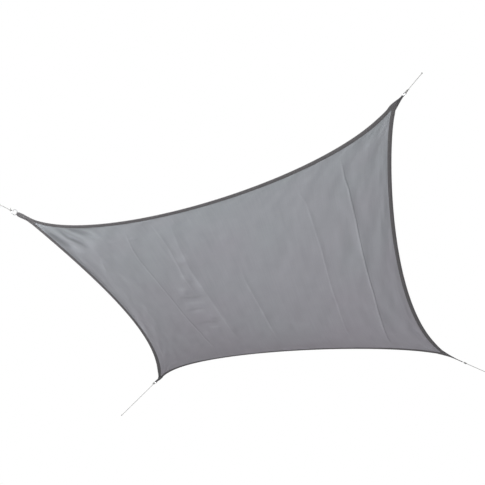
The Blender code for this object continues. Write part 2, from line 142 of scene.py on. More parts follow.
# Painted light and shade: bands painted lighter along the pleats and creases, where light would catch them, and
# darker beside them, with a painted shadow along the left webbing. They are given as the creases are, with a
# tone in place of the height.
PAINTED_SHADE_BANDS = tuple(Crease(*row) for row in (
    (((0.006, 0.014), (0.0, 0.091), (-0.001, 0.163), (-0.004, 0.226), (-0.004, 0.42)), -1.6, 0.03, 0.06),
    (((0.022, 0.041), (0.023, 0.074), (0.027, 0.109), (0.036, 0.132), (0.05, 0.155), (0.067, 0.17)),
     -1.8, 0.03, 0.018),
    (((0.088, -0.01), (0.086, 0.062), (0.089, 0.089), (0.104, 0.108), (0.116, 0.133), (0.13, 0.175)),
     -2.4, 0.022, 0.016),
    (((0.12, -0.03), (0.134, 0.029), (0.151, 0.047), (0.182, 0.085)), -2.4, 0.022, 0.02),
    (((0.04, -0.01), (0.062, 0.04), (0.066, 0.075), (0.08, 0.11), (0.098, 0.155)), 0.9, 0.022, 0.024),
    (((0.1, -0.02), (0.116, 0.04), (0.136, 0.082), (0.156, 0.128)), 1.3, 0.02, 0.026),
    (((0.145, -0.02), (0.16, 0.02), (0.18, 0.05), (0.19, 0.09)), 0.8, 0.016, 0.034),
    (((0.19, 0.02), (0.198, 0.06), (0.194, 0.105)), -1.0, 0.02, 0.04),
    (((0.325, 0.407), (0.347, 0.403)), 0.8, 0.03, 0.03),
    (((0.294, 0.466), (0.332, 0.471)), 0.9, 0.03, 0.03),
    (((0.363, 0.337), (0.362, 0.382), (0.365, 0.455), (0.371, 0.53)), 0.6, 0.03, 0.02),
    (((0.284, 0.547), (0.365, 0.562)), 0.8, 0.03, 0.03),
    (((0.284, 0.601), (0.357, 0.601)), 0.6, 0.03, 0.026),
    (((0.324, 0.71), (0.37, 0.715)), 0.9, 0.02, 0.02),
    (((0.376, 0.532), (0.384, 0.629), (0.393, 0.751)), 0.8, 0.03, 0.018),
    (((0.34, 0.331), (0.378, 0.293)), 0.6, 0.06, 0.06),
))

# The camera, in the frame's metres. Its heading turns from +Y towards -X.
CAMERA_PLACE = (0.4475, -7.0868, -3.9839)
CAMERA_HEADING = 15.054
CAMERA_CLIMB = 20.362
CAMERA_ROLL = 0.486
CAMERA_LENS = 66.86             # mm, on a 36 mm square picture
EYE_HEIGHT = 1.55               # of the camera above the floor

FLOOR_GLOW = 0.45
SAIL_MIDDLE = (-1.7, 1.7, -1.0)
FLOOR_RADIUS = 60.0
# name, place, side in metres and power in watts of each soft light
SOFT_BOXES = (
    ("key", (-5.0, -4.0, -0.5), 2.5, 400.0),
    ("side", (-5.5, -0.5, -0.8), 1.0, 60.0),
    ("fill", (-1.0, -3.0, -3.8), 2.0, 81.0),
    ("top", (-3.0, 0.0, 5.0), 4.0, 130.0),
)

# painted light tint: the cloth's colour greener and a shade lighter towards the front edge, and redder and a
# shade darker towards the back
PAINTED_FRONT_TINT = (0.980, 1.020, 1.000, 1.0)
PAINTED_BACK_TINT = (1.030, 0.967, 0.995, 1.0)


# ---- colours and nodes
def linear(code):
    """A colour given as an sRGB hex value, in linear light."""
    parts = [int(code[place:place + 2], 16) / 255 for place in (1, 3, 5)]
    return tuple(part / 12.92 if part <= 0.04045 else ((part + 0.055) / 1.055) ** 2.4 for part in parts)


def feed(node, inputs):
    """Give a node's sockets values, or link them to what feeds them: a socket, or a node's first output."""
    for socket, value in inputs:
        if isinstance(value, bpy.types.Node):
            value = value.outputs[0]
        if isinstance(value, bpy.types.NodeSocket):
            node.id_data.links.new(value, node.inputs[socket])
        else:
            node.inputs[socket].default_value = value


def add_node(tree, kind, inputs=(), **settings):
    """Add a node with its settings, then feed its sockets."""
    node = tree.nodes.new("ShaderNode" + kind)
    for name, value in settings.items():
        setattr(node, name, value)
    feed(node, inputs)
    return node


def new_material(name):
    material = bpy.data.materials.new(name)
    material.use_nodes = True
    return material, material.node_tree, material.node_tree.nodes["Principled BSDF"]


def colour4(colour, factor=1.0):
    return (*(part * factor for part in colour[:3]), 1.0)


def knit_material(settings):
    """Knitted HDPE shade cloth: matte tape yarns in rows, with faint streaks where the tension differs."""
    material, tree, shader = new_material("knitted_hdpe_shade_cloth")
    base = settings.cloth_colour
    uv = add_node(tree, "TexCoord").outputs["UV"]
    flat = add_node(tree, "Mapping", [("Vector", uv), ("Scale", (SIDE, SIDE, 1.0))])
    # mottling of about 0.3 m across, as on cloth that was folded away
    mottle = add_node(tree, "TexNoise", [("Vector", flat), ("Scale", 3.4), ("Detail", 4.0),
                                        ("Roughness", 0.6)])
    # streaks about 12 mm apart that run from the front edge to the back
    stretch = add_node(tree, "Mapping", [("Vector", flat), ("Scale", (80.0, 1.6, 1.0))])
    streak = add_node(tree, "TexNoise", [("Vector", stretch), ("Scale", 1.0)])
    shade = add_node(tree, "Math", [(0, mottle), (1, streak)])
    # painted light and shade along the pleats and creases, and a painted shadow beside the left webbing, read
    # from the cloth's vertices
    bands = add_node(tree, "Attribute", attribute_name="painted_light_and_shade").outputs["Fac"]
    shade = add_node(tree, "Math", [(0, shade), (1, bands)])
    share = add_node(tree, "MapRange", [("Value", shade), ("From Min", -2.0), ("From Max", 4.0)])
    tone = add_node(tree, "Mix", [(0, share), (6, colour4(base, 0.58)), (7, colour4(base, 1.42))],
                    data_type="RGBA")
    # painted light tint, greener and a shade lighter towards the front edge and redder and a shade darker
    # towards the back, broken up by random patches
    place = add_node(tree, "SeparateXYZ", [("Vector", uv)]).outputs["Y"]
    patch = add_node(tree, "TexNoise", [("Vector", flat), ("Scale", 1.3), ("Detail", 1.0)])
    painted_tint_share = add_node(tree, "Math", [(0, place), (1, patch)])
    painted_tint_share = add_node(tree, "MapRange", [("Value", painted_tint_share), ("From Min", 0.4), ("From Max", 1.6)])
    painted_light_tint = add_node(tree, "Mix", [(0, painted_tint_share), (6, PAINTED_FRONT_TINT), (7, PAINTED_BACK_TINT)], data_type="RGBA").outputs[2]
    colour = add_node(tree, "Mix", [(0, 1.0), (6, tone.outputs[2]), (7, painted_light_tint)], data_type="RGBA",
                      blend_type="MULTIPLY").outputs[2]
    # the knit's rows are 3 mm apart on the real cloth, and drawn 9 mm apart so that they show
    rows = add_node(tree, "TexWave", [("Vector", flat), ("Scale", 1.0 / (settings.knit_pitch * 3.2)),
                                      ("Distortion", 0.6), ("Detail", 1.0)]).outputs["Fac"]
    loops = add_node(tree, "TexWave", [("Vector", flat), ("Scale", 1.0 / (settings.knit_pitch * 4.0)),
                                       ("Distortion", 1.0), ("Detail", 1.0)],
                     bands_direction="Y").outputs["Fac"]
    relief = add_node(tree, "Math", [(0, rows), (1, loops)])
    bump = add_node(tree, "Bump", [("Height", relief), ("Strength", 0.35), ("Distance", 0.0006)])
    feed(shader, [("Base Color", colour), ("Normal", bump), ("Roughness", 0.82), ("Specular IOR Level", 0.25),
                  ("Sheen Weight", 0.08)])
    return material


def webbing_material(settings):
    """Woven polyester webbing: matte, ribbed across by its weft."""
    material, tree, shader = new_material("woven_polyester_webbing")
    base = settings.webbing_colour
    uv = add_node(tree, "TexCoord").outputs["UV"]
    ribs = add_node(tree, "TexWave", [("Vector", uv), ("Scale", 1.0 / (settings.rib_pitch * 3.2)),
                                      ("Distortion", 0.3), ("Detail", 1.0)]).outputs["Fac"]
    speck = add_node(tree, "TexNoise", [("Vector", uv), ("Scale", 60.0), ("Detail", 3.0)])
    shade = add_node(tree, "Math", [(0, ribs), (1, speck)])
    share = add_node(tree, "MapRange", [("Value", shade), ("From Min", 0.3), ("From Max", 1.7)])
    tone = add_node(tree, "Mix", [(0, share), (6, colour4(base, 0.82)), (7, colour4(base, 1.18))],
                    data_type="RGBA")
    bump = add_node(tree, "Bump", [("Height", ribs), ("Strength", 0.5), ("Distance", 0.0006)])
    feed(shader, [("Base Color", tone.outputs[2]), ("Normal", bump), ("Roughness", 0.78),
                  ("Specular IOR Level", 0.3)])
    return material


def thread_material(settings):
    """Bonded polyester sewing thread: slightly glossy, a shade lighter than the webbing."""
    material, tree, shader = new_material("bonded_polyester_thread")
    base = settings.thread_colour
    place = add_node(tree, "TexCoord").outputs["Object"]
    speck = add_node(tree, "TexNoise", [("Vector", place), ("Scale", 300.0)])
    tone = add_node(tree, "Mix", [(0, speck), (6, colour4(base, 0.85)), (7, colour4(base, 1.15))],
                    data_type="RGBA")
    feed(shader, [("Base Color", tone.outputs[2]), ("Roughness", 0.5)])
    return material


def steel_material():
    """Stainless steel wire, drawn and electropolished: bright, with faint drawing marks."""
    material, tree, shader = new_material("electropolished_stainless_steel")
    place = add_node(tree, "TexCoord").outputs["Object"]
    marks = add_node(tree, "TexNoise", [("Vector", place), ("Scale", 700.0)])
    rough = add_node(tree, "MapRange", [("Value", marks), ("To Min", 0.16), ("To Max", 0.34)])
    bump = add_node(tree, "Bump", [("Height", marks), ("Strength", 0.12), ("Distance", 0.0002)])
    feed(shader, [("Roughness", rough), ("Normal", bump), ("Base Color", colour4(linear("#C9CACC"))),
                  ("Metallic", 1.0)])
    return material


def rope_material(settings):
    """Polypropylene rope: three strands of fine filaments, matte with a soft sheen."""
    material, tree, shader = new_material("laid_polypropylene_rope")
    base = settings.rope_colour
    uv = add_node(tree, "TexCoord").outputs["UV"]
    fine = add_node(tree, "Mapping", [("Vector", uv), ("Scale", (150.0, 900.0, 1.0))])
    fibre = add_node(tree, "TexNoise", [("Vector", fine), ("Scale", 1.0), ("Detail", 3.0)])
    tone = add_node(tree, "Mix", [(0, fibre), (6, colour4(base, 0.80)), (7, colour4(base, 1.15))],
                    data_type="RGBA")
    bump = add_node(tree, "Bump", [("Height", fibre), ("Strength", 0.5), ("Distance", 0.0004)])
    feed(shader, [("Base Color", tone.outputs[2]), ("Normal", bump), ("Roughness", 0.62)])
    return material


# ---- the sail's surface
def bezier(points, share):
    """The cubic curve of four control points, at one share or an array of them."""
    share = np.asarray(share, dtype=float)[..., None]
    rest = 1.0 - share
    a, b, c, d = points
    return rest ** 3 * a + 3 * rest ** 2 * share * b + 3 * rest * share ** 2 * c + share ** 3 * d


def smooth_step(share):
    share = np.clip(share, 0.0, 1.0)
    return share * share * (3.0 - 2.0 * share)


def unit(ways):
    return ways / np.linalg.norm(ways, axis=-1, keepdims=True)


def path_reach(points):
    """How far along a path each of its points lies."""
    return np.concatenate(((0.0,), np.cumsum(np.linalg.norm(np.diff(points, axis=0), axis=1))))


def read_at(marks, reach, values):
    """Points or directions that are known at reach, read at marks."""
    return np.stack([np.interp(marks, reach, values[:, axis]) for axis in range(3)], axis=-1)


def pull_direction(corner):
    turn = radians(corner.turn)
    climb = radians(corner.climb)
    return np.array((cos(turn) * cos(climb), sin(turn) * cos(climb), sin(climb)))


def strap_end(corner):
    """Where the strap meets the ring's wire, in the sail's own frame."""
    square_corner = np.array((corner.side_x * SIDE / 2, corner.side_y * SIDE / 2, corner.rise * CORNER_RISE))
    return square_corner + corner.beyond * pull_direction(corner)


def seam_corner(corner):
    return strap_end(corner) - corner.neck_length * pull_direction(corner)


def seam_handles(edge):
    """The four control points of an edge's seam curve."""
    start = seam_corner(CORNERS[edge.start])
    end = seam_corner(CORNERS[edge.end])
    length = np.linalg.norm(end - start)
    along = (end - start) / length
    inward = unit(np.array((-along[1], along[0], 0.0)))
    up = np.array((0.0, 0.0, 1.0))
    leave_angle = radians(edge.start_angle)
    arrive_angle = radians(edge.end_angle)
    leave = along * cos(leave_angle) + inward * sin(leave_angle) - up * edge.start_drop
    arrive = -along * cos(arrive_angle) + inward * sin(arrive_angle) - up * edge.end_drop
    return start, start + leave * edge.start_reach * length, end + arrive * edge.end_reach * length, end


SEAMS = tuple(seam_handles(edge) for edge in EDGES)


def fold_place(fold, back):
    """How far to the right a fold line lies."""
    backs, rights = zip(*fold.places)
    return np.interp(back, backs, rights)


def ridge(across, left, right):
    """A ridge of height 1 at places across it, below zero to its left: a soft bell with two widths."""
    return np.exp(-(across / np.where(across < 0.0, left, right)) ** 2)


def beside_crease(line, spots):
    """How far along a crease's line and to its right spots lie, and its length, seen from above in metres."""
    along, across = np.zeros(spots.shape[:-1]), np.full(spots.shape[:-1], 1e6)
    length = 0.0
    for start, end in zip(line[:-1], line[1:]):
        run = end - start
        reach = np.linalg.norm(run)
        run = run / reach
        x, y = spots[..., 0] - start[0], spots[..., 1] - start[1]
        part = np.clip(x * run[0] + y * run[1], 0.0, reach)
        gap = np.hypot(x - part * run[0], y - part * run[1])
        nearer = gap < np.abs(across)
        along = np.where(nearer, length + part, along)
        across = np.where(nearer, np.copysign(gap, x * run[1] - y * run[0]), across)
        length += reach
    return along, across, length


def crease_share(crease, spots):
    """How much of a crease reaches each spot: 1 along its line, less beside it and towards its ends."""
    line = sheet_points(*zip(*crease.places))[..., :2]
    along, across, length = beside_crease(line, spots)
    end = length * CREASE_END
    ends = smooth_step(along / end) * smooth_step((length - along) / end)
    return ends * ridge(across, crease.left, crease.right)


def painted_light_and_shade(right, back):
    """How much painted light, above 0, or painted shade, below 0, the cloth has at arrays of places."""
    spots = sheet_points(right, back)[..., :2]
    return sum(band.height * crease_share(band, spots) for band in PAINTED_SHADE_BANDS)


def crease_height(right, back):
    """How far the folds, creases and small unevenness lift the cloth at arrays of places."""
    height = np.zeros_like(right)
    for fold in FOLD_LINES:
        across = (right - fold_place(fold, back)) * SIDE
        ends = smooth_step((back - fold.first) / FOLD_END) * smooth_step((fold.last - back) / FOLD_END)
        height += ends * fold.swell * ridge(across, SWELL_WIDTH, SWELL_WIDTH)
        height += ends * (0.6 + 0.6 * back) * fold.line * ridge(across, fold.left, fold.right)
    spots = sheet_points(right, back)[..., :2]
    for crease in CREASES:
        height += crease.height * crease_share(crease, spots)
    waves = np.random.default_rng(23)
    for _ in range(WAVES):
        across_wave = waves.uniform(0.07, 0.40)
        along_wave = waves.uniform(0.25, 1.60) * waves.choice((-1.0, 1.0))
        phase = waves.uniform(0.0, 2.0 * pi)
        turn = 2.0 * pi * SIDE * (right / across_wave + back / along_wave) + phase
        height += WAVE_STEEPNESS * across_wave * np.sin(turn)
    fade = np.minimum(np.minimum(right, 1.0 - right), np.minimum(back, 1.0 - back)) / CREASE_FADE
    return height * smooth_step(fade)


def sheet_points(right, back):
    """The pulled sail's smooth surface at arrays of places, in the sail's own frame."""
    right = np.asarray(right, dtype=float)
    back = np.asarray(back, dtype=float)
    front, east, rear, west = SEAMS
    u = right[..., None]
    v = back[..., None]
    points = (1.0 - v) * bezier(front, right) + v * bezier(rear, 1.0 - right)
    points = points + (1.0 - u) * bezier(west, 1.0 - back) + u * bezier(east, back)
    points = points - (1.0 - u) * (1.0 - v) * front[0] - u * (1.0 - v) * front[3]
    points = points - u * v * rear[0] - (1.0 - u) * v * rear[3]
    hollow = 16.0 * right * (1.0 - right) * back * (1.0 - back)
    hollow = hollow * (1.0 + BELLY_TO_BACK * (2.0 * back - 1.0))
    hollow = hollow * (1.0 + BELLY_TO_RIGHT * (2.0 * right - 1.0))
    points[..., 2] -= BELLY * hollow
    return points


def sheet_slopes(right, back, step=0.001):
    """The surface's directions towards the right and towards the back."""
    left, east = np.maximum(right - step, 0.0), np.minimum(right + step, 1.0)
    front, rear = np.maximum(back - step, 0.0), np.minimum(back + step, 1.0)
    across = unit(sheet_points(east, back) - sheet_points(left, back))
    deep = unit(sheet_points(right, rear) - sheet_points(right, front))
    return across, deep


def edge_frames(number, share):
    """Along an edge: the seam's points, its direction, the way out across the webbing, and the normal."""
    share = np.asarray(share, dtype=float)
    none, full = np.zeros_like(share), np.ones_like(share)
    right, back = ((share, none), (full, share), (1.0 - share, full), (none, 1.0 - share))[number]
    across, deep = sheet_slopes(right, back)
    along = (across, deep, -across, -deep)[number]
    normal = unit(np.cross(across, deep))
    return sheet_points(right, back), along, unit(np.cross(along, normal)), normal


def webbing_width(number, share):
    edge = EDGES[number]
    start, end = CORNERS[edge.start].neck_width, CORNERS[edge.end].neck_width
    width = WEBBING_WIDTH - (WEBBING_WIDTH - start) * (1.0 - smooth_step(share / NECK_TAPER))
    return width - (WEBBING_WIDTH - end) * (1.0 - smooth_step((1.0 - share) / NECK_TAPER))


def ring_matrix(number):
    """The ring's frame in the sail's own frame: X along the pull, Y across the strap, Z the ring's axis."""
    corner = CORNERS[number]
    pull = Vector(pull_direction(corner))
    normal = Vector(edge_frames(number, 0.0)[3])
    axis = (normal - normal.dot(pull) * pull).normalized()
    axis.rotate(Matrix.Rotation(radians(corner.roll), 3, pull))
    matrix = Matrix((pull, axis.cross(pull), axis)).transposed().to_4x4()
    matrix.translation = Vector(strap_end(corner)) + pull * RING_RADIUS
    return matrix


def lean_matrix():
    """From the sail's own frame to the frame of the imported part, whose origin is the front right ring."""
    turn = Matrix.Rotation(radians(LEAN[1]), 4, "Y") @ Matrix.Rotation(radians(LEAN[0]), 4, "X")
    return Matrix.Translation(-(turn @ ring_matrix(1).translation)) @ turn


PLACE = lean_matrix()


def placed(points, matrix=PLACE):
    """Points moved by a matrix, in arrays of any shape."""
    turn = np.array(matrix.to_3x3())
    return np.asarray(points) @ turn.T + np.array(matrix.translation)


# ---- meshes
def add_object(name, data):
    piece = bpy.data.objects.new(name, data)
    bpy.context.scene.collection.objects.link(piece)
    return piece


def finish_mesh(bm, name, material, smooth_angle=40.0):
    """Turn a bmesh into an object at the origin, shaded smooth up to an angle."""
    mesh = bpy.data.meshes.new(name)
    bm.to_mesh(mesh)
    bm.free()
    mesh.shade_smooth()
    mesh.set_sharp_from_angle(angle=radians(smooth_angle))
    mesh.materials.append(material)
    return add_object(name, mesh)


def draped_grid(points, uvs=None, wrap=False, painted_shades=None):
    """A grid whose vertices are moved onto an array of points, welded into a closed tube if it wraps."""
    uvs = path_uvs(points) if uvs is None else uvs
    rows, columns = points.shape[:2]
    bm = bmesh.new()
    layer = bm.loops.layers.uv.new("UVMap")
    tone = bm.verts.layers.float.new("painted_light_and_shade") if painted_shades is not None else None
    bmesh.ops.create_grid(bm, x_segments=columns - 1, y_segments=rows - 1, size=1.0)
    places = {}
    for vert in bm.verts:
        column = round((vert.co.x + 1.0) / 2.0 * (columns - 1))
        row = round((vert.co.y + 1.0) / 2.0 * (rows - 1))
        places[vert] = row, column
    for face in bm.faces:
        for loop in face.loops:
            loop[layer].uv = uvs[places[loop.vert]]
    for vert, place in places.items():
        vert.co = points[place]
        if painted_shades is not None:
            vert[tone] = painted_shades[place]
    if wrap:
        bmesh.ops.remove_doubles(bm, verts=bm.verts, dist=1e-7)
        open_edges = [edge for edge in bm.edges if edge.is_boundary]
        bmesh.ops.holes_fill(bm, edges=open_edges, sides=0)
        bmesh.ops.recalc_face_normals(bm, faces=bm.faces)
    return bm


def thicken(piece, thickness):
    solid = piece.modifiers.new("thickness", "SOLIDIFY")
    solid.thickness = thickness
    solid.offset = 0.0


def path_uvs(points):
    """UVs in metres along and across a grid of points."""
    return np.stack(np.meshgrid(path_reach(points[:, 0]), path_reach(points[0]), indexing="ij"), axis=-1)


def smooth_path(points, count):
    """A smooth curve through a few points, read at even steps."""
    points = np.asarray(points, dtype=float)
    padded = np.vstack((2 * points[0] - points[1], points, 2 * points[-1] - points[-2]))
    share = np.linspace(0.0, 1.0, 24, endpoint=False)[:, None]
    dense = []
    for a, b, c, d in zip(padded, padded[1:], padded[2:], padded[3:]):
        dense.append(0.5 * (2 * b + (c - a) * share + (2 * a - 5 * b + 4 * c - d) * share ** 2
                            + (3 * b - a - 3 * c + d) * share ** 3))
    dense = np.vstack((*dense, points[-1:]))
    reach = path_reach(dense)
    return read_at(np.linspace(0.0, reach[-1], count), reach, dense)


def settle(piece, slot, *nodes):
    """Every piece rides on the one body, and the model's parts that it stands for are hidden. slot is not used.
    """
    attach(piece, "root")
    if nodes:
        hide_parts(*nodes)
    return piece


# ---- settings a user would change
class ShadeSailSettings(bpy.types.PropertyGroup):
    cloth_thickness: bpy.props.FloatProperty(
        name="Cloth thickness", description="Thickness of the knitted cloth", default=0.0018, unit="LENGTH")
    knit_pitch: bpy.props.FloatProperty(
        name="Knit pitch", description="Distance between the knit's rows as drawn", default=0.009, unit="LENGTH")
    rib_pitch: bpy.props.FloatProperty(
        name="Rib pitch", description="Distance between the webbing's ribs", default=0.004, unit="LENGTH")
    stitch_pitch: bpy.props.FloatProperty(
        name="Stitch pitch", description="Distance from one stitch to the next", default=0.007, unit="LENGTH")
    cloth_colour: bpy.props.FloatVectorProperty(
        name="Cloth colour", description="Colour of the knitted cloth", default=linear("#97989E"),
        subtype="COLOR")
    webbing_colour: bpy.props.FloatVectorProperty(
        name="Webbing colour", description="Colour of the edge webbing and straps", default=linear("#605E60"),
        subtype="COLOR")
    thread_colour: bpy.props.FloatVectorProperty(
        name="Thread colour", description="Colour of the sewing thread", default=linear("#6C6B6D"),
        subtype="COLOR")
    rope_colour: bpy.props.FloatVectorProperty(
        name="Rope colour", description="Colour of the ropes", default=linear("#969694"), subtype="COLOR")
    ambient_light: bpy.props.FloatProperty(
        name="Ambient light", description="Strength of the light from all round", default=0.32)
    floor_colour: bpy.props.FloatVectorProperty(
        name="Floor colour", description="Colour of the stage's floor", default=linear("#EDEDEC"),
        subtype="COLOR")


# ---- cloth
CLOTH_COLUMNS = 252
CLOTH_ROWS = 190


def uneven_marks(count, bumps):
    """Marks from 0 to 1 that stand closer together near each bump, given as place, width and weight."""
    fine = np.linspace(0.0, 1.0, 4001)
    weight = 1.0 + sum(more * np.exp(-((fine - place) / width) ** 2) for place, width, more in bumps)
    reach = np.concatenate(((0.0,), np.cumsum((weight[1:] + weight[:-1]) / 2)))
    return np.interp(np.linspace(0.0, reach[-1], count + 1), reach, fine)


def cloth_places():
    """The grid's places, as shares to the right and to the back. Its columns follow the fold lines."""
    middles = [float(fold_place(fold, 0.5)) for fold in FOLD_LINES]
    columns = uneven_marks(CLOTH_COLUMNS, [(0.0, 0.13, 1.6)] + [(middle, 0.006, 4.0) for middle in middles])
    rows = uneven_marks(CLOTH_ROWS, [(0.0, 0.13, 1.5), (0.58, 0.14, 1.1)])
    right = np.zeros((CLOTH_ROWS + 1, CLOTH_COLUMNS + 1))
    for index, back in enumerate(rows):
        lines = [0.0] + [float(fold_place(fold, back)) for fold in FOLD_LINES] + [1.0]
        right[index] = np.interp(columns, [0.0] + middles + [1.0], lines)
    return right, np.repeat(rows[:, None], CLOTH_COLUMNS + 1, axis=1)


def cloth_points():
    """The cloth's grid, with one more row along each edge for the rim that lies inside the webbing."""
    right, back = cloth_places()
    points = np.zeros((CLOTH_ROWS + 3, CLOTH_COLUMNS + 3, 3))
    uvs = np.zeros((CLOTH_ROWS + 3, CLOTH_COLUMNS + 3, 2))
    inside = points[1:-1, 1:-1]
    inside[:] = sheet_points(right, back)
    inside[..., 2] += crease_height(right, back)
    uvs[..., 0] = np.pad(right, 1, mode="edge")
    uvs[..., 1] = np.pad(back, 1, mode="edge")
    rims = (((0, slice(1, -1)), right[0]), ((slice(1, -1), -1), back[:, -1]),
            ((-1, slice(1, -1)), 1.0 - right[-1]), ((slice(1, -1), 0), 1.0 - back[:, 0]))
    for number, (place, share) in enumerate(rims):
        seam, _, out, _ = edge_frames(number, share)
        width = webbing_width(number, share) - WEBBING_FOLD
        points[place] = seam + out * width[:, None]
        uvs[place] += ((0, -1), (1, 0), (0, 1), (-1, 0))[number] * width[:, None] / SIDE
    tips = ((0, 0), (0, -1), (-1, -1), (-1, 0))
    for corner, place in zip(CORNERS, tips):
        points[place] = seam_corner(corner) + pull_direction(corner) * GAP
    return points, uvs, np.pad(painted_light_and_shade(right, back), 1, mode="edge")


class SHADESAIL_OT_cloth(bpy.types.Operator):
    """Make the sail's knitted cloth"""
    bl_idname = "shadesail.cloth"
    bl_label = "Sail cloth"

    def execute(self, context):
        settings = context.scene.shade_sail
        points, uvs, painted_shades = cloth_points()
        grid = draped_grid(placed(points), uvs, painted_shades=painted_shades)
        cloth = finish_mesh(grid, "cloth", knit_material(settings), 80.0)
        thicken(cloth, settings.cloth_thickness)
        settle(cloth, "sail_knit", "sail_cloth")
        return {"FINISHED"}


# ---- webbing
WEBBING_STEPS = 170
WEBBING_THICKNESS = 0.0012


def webbing_section(width, thickness):
    """The folded webbing's section with a round fold: out across the edge, and up along the normal."""
    inner = thickness / 2 + GAP
    outer = inner + WEBBING_THICKNESS
    lip = 0.0004
    slot = width - WEBBING_FOLD + GAP
    fold = [(width - outer + outer * cos(turn), outer * sin(turn))
            for turn in np.linspace(pi / 2, -pi / 2, 7)]
    return [(lip, outer - 0.0003), (lip + 0.0006, outer), (width * 0.5, outer + 0.0002), *fold,
            (width * 0.5, -outer - 0.0002), (lip + 0.0006, -outer), (lip, -outer + 0.0003),
            (lip, -inner), (slot, -inner), (slot, inner), (lip, inner), (lip, outer - 0.0003)]


def webbing_points(number, thickness):
    share = np.linspace(0.0, 1.0, WEBBING_STEPS + 1)
    seam, _, out, normal = edge_frames(number, share)
    rows = []
    for index, width in enumerate(webbing_width(number, share)):
        section = np.array(webbing_section(width, thickness))
        rows.append(seam[index] + section[:, :1] * out[index] + section[:, 1:] * normal[index])
    return np.array(rows)


class SHADESAIL_OT_webbing(bpy.types.Operator):
    """Make the webbing that is folded over each edge"""
    bl_idname = "shadesail.webbing"
    bl_label = "Edge webbing"

    def execute(self, context):
        settings = context.scene.shade_sail
        material = webbing_material(settings)
        for number, edge in enumerate(EDGES):
            points = placed(webbing_points(number, settings.cloth_thickness))
            bm = draped_grid(points, wrap=True)
            piece = finish_mesh(bm, "edge_" + edge.name, material, 50.0)
            settle(piece, "edge_webbing", "webbing_" + edge.name)
        return {"FINISHED"}


# ---- corner straps
PATCH_REACH = 0.026             # how far the strap's patch is sewn over the ends of the webbing
STRAP_COLUMNS = 13
LOOP_WEBBING = 0.0014           # thickness of the webbing that loops round the ring
LOOP_WIDTH = 0.0272
LOOP_START = 0.30               # share of the way to the ring at which that loop is sewn on
LOOP_RADIUS = WIRE_ROOM + LOOP_WEBBING / 2
LOOP_OPENING = 0.018            # length over which the loop opens from the strap's faces to its round end
ACROSS = np.linspace(1.0, -1.0, STRAP_COLUMNS)


def strap_middle(number, share, offsets):
    """A row across the strap's middle surface, and the way through its thickness.

    share is 0 at the webbing's ends and 1 at the ring's wire. offsets run from 1 to -1 across the strap.
    """
    corner = CORNERS[number]
    base, along, out, normal = edge_frames(number, 0.0)
    _, last_along, last_out, _ = edge_frames(number - 1, 1.0)
    pull = pull_direction(corner)
    width = corner.neck_width + 0.0007
    rims = base + out * width, base + last_out * width
    places = np.array((rims[0], (rims[0] + base) / 2, base, (base + rims[1]) / 2, rims[1]))
    ways = unit(np.array((-along, unit(pull - along), pull, unit(pull + last_along), last_along)))
    ring = np.array(ring_matrix(number))
    across, axis, centre = ring[:3, 1], ring[:3, 2], ring[:3, 3]
    if (rims[0] - rims[1]) @ across < 0:
        across = -across
    marks = (-1.0, -0.5, 0.0, 0.5, 1.0)
    start = read_at(offsets, marks, places[::-1])
    way = unit(read_at(offsets, marks, ways[::-1]))
    run = corner.neck_length
    turns = np.asarray(offsets)[:, None] * STRAP_WIDTH / 2 / RING_RADIUS
    outward = across * np.sin(turns) - pull * np.cos(turns)
    wire = centre + RING_RADIUS * outward
    if share < 0.0:
        points = start + way * run * share
    else:
        arrive = unit(pull - outward) * run / 3
        points = bezier((start, start + way * run / 3, wire - arrive, wire), share)
    through = unit(normal + (axis - normal) * smooth_step(share))
    return points, through, outward


def strap_half_thickness(share):
    return np.interp(share, (0.0, 0.5, 1.0), (0.0031, 0.0024, 0.0022))


def strap_points(number):
    """The strap's body: rows of closed sections from its patch on the webbing to just before the ring."""
    run = CORNERS[number].neck_length
    rows = []
    for share in np.concatenate((np.linspace(-PATCH_REACH / run, 0.0, 5), np.linspace(0.0, 1.0, 31)[1:])):
        share = min(share, 1.0 - 0.011 / run)
        points, through, _ = strap_middle(number, share, ACROSS)
        half = strap_half_thickness(share)
        first_rim = points[0] + unit(points[0] - points[1]) * half * 0.8
        last_rim = points[-1] + unit(points[-1] - points[-2]) * half * 0.8
        rows.append(np.vstack((points + through * half, last_rim, (points - through * half)[::-1], first_rim,
                               points[:1] + through * half)))
    return np.array(rows)


def loop_row(number, share, face):
    """A row of the webbing that loops round the ring, on the strap's upper face, 1, or its lower one, -1."""
    points = strap_middle(number, share, ACROSS)[0]
    width = np.linalg.norm(points[0] - points[-1])
    points, through, _ = strap_middle(number, share, ACROSS * min(1.0, LOOP_WIDTH / width))
    lie = strap_half_thickness(share) + LOOP_WEBBING / 2 + 0.0001
    near = smooth_step(1.0 - (1.0 - share) * CORNERS[number].neck_length / LOOP_OPENING)
    return points + through * face * (lie + (LOOP_RADIUS - lie) * near), through * face


def loop_points(number):
    """The looped webbing's middle surface: out along the strap, round the wire and back."""
    shares = np.linspace(LOOP_START, 1.0, 26)
    rows = [loop_row(number, share, 1.0)[0] for share in shares]
    wire, through, outward = strap_middle(number, 1.0, ACROSS)
    for turn in np.linspace(0.0, pi, 13)[1:-1]:
        rows.append(wire + LOOP_RADIUS * (cos(turn) * through - sin(turn) * outward))
    rows += [loop_row(number, share, -1.0)[0] for share in shares[::-1]]
    return np.array(rows)


